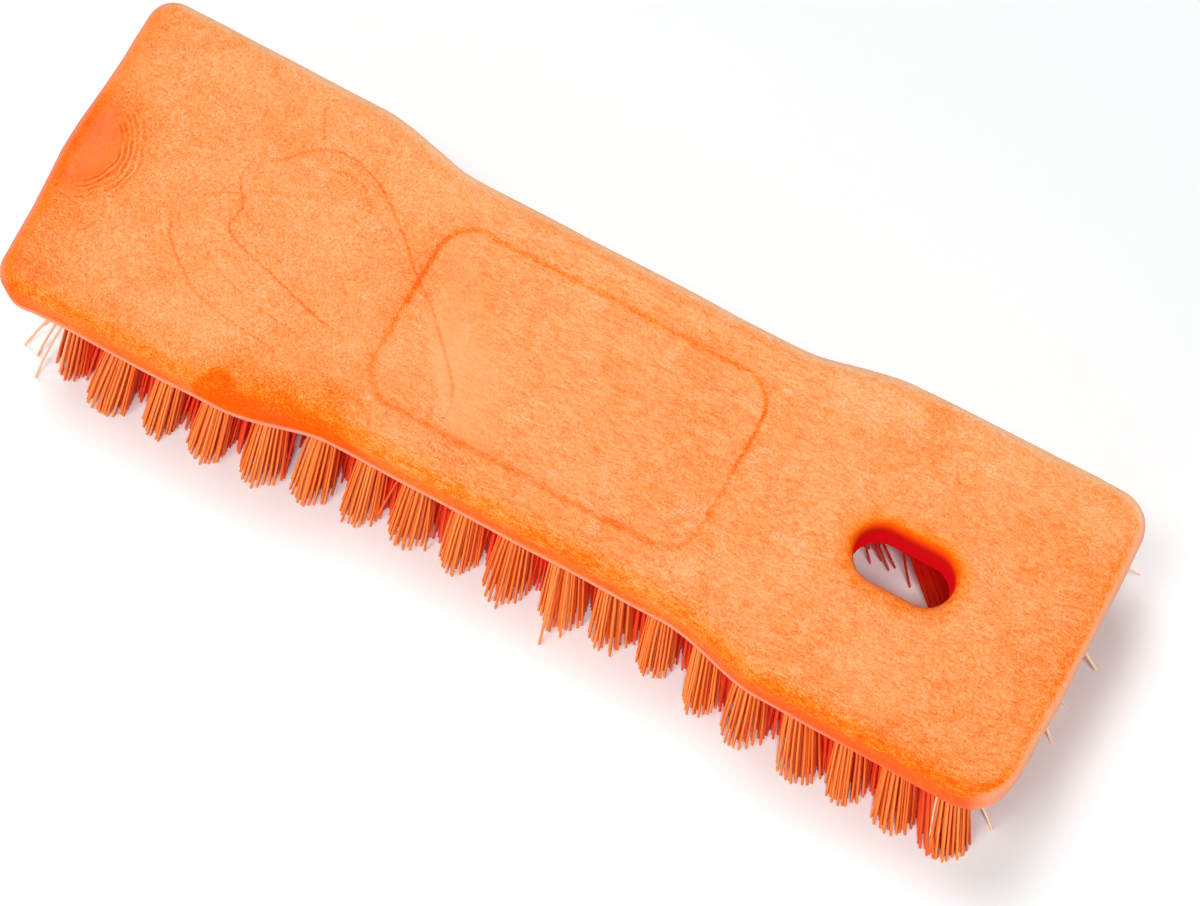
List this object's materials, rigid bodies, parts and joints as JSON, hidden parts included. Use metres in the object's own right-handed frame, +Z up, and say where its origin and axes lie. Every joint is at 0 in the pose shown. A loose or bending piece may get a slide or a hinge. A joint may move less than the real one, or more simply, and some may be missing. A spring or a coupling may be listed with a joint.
{
  "type": "scrub brush",
  "caption": "Waisted plastic scrub brush block with a sunk grip panel, a hanging hole and rows of stiff bristle tufts.",
  "frame": {"origin": "middle of the footprint, on the plane of the bristle tips", "axes": "+X along the block towards the hanging hole, +Y across the block, +Z up out of the top face"},
  "size_m": [0.2, 0.0694, 0.044],
  "materials": {
    "block_plastic": "satin moulded polypropylene, orange, with faint flow marks",
    "bristle_plastic": "satin extruded filament, red-orange"
  },
  "bodies": {
    "root": {"block": "block_plastic", "tuft_row_01": "bristle_plastic", "tuft_row_02": "bristle_plastic", "tuft_row_03": "bristle_plastic", "tuft_row_04": "bristle_plastic", "tuft_row_05": "bristle_plastic", "tuft_row_06": "bristle_plastic", "tuft_row_07": "bristle_plastic", "tuft_row_08": "bristle_plastic", "tuft_row_09": "bristle_plastic", "tuft_row_10": "bristle_plastic", "tuft_row_11": "bristle_plastic", "tuft_row_12": "bristle_plastic", "tuft_row_13": "bristle_plastic", "tuft_row_14": "bristle_plastic", "tuft_row_15_far": "bristle_plastic", "tuft_row_15_near": "bristle_plastic", "tuft_row_16_far": "bristle_plastic", "tuft_row_16_near": "bristle_plastic", "tuft_row_17_far": "bristle_plastic", "tuft_row_17_near": "bristle_plastic", "tuft_row_18": "bristle_plastic", "tuft_row_19": "bristle_plastic"}
  },
  "joints": []
}
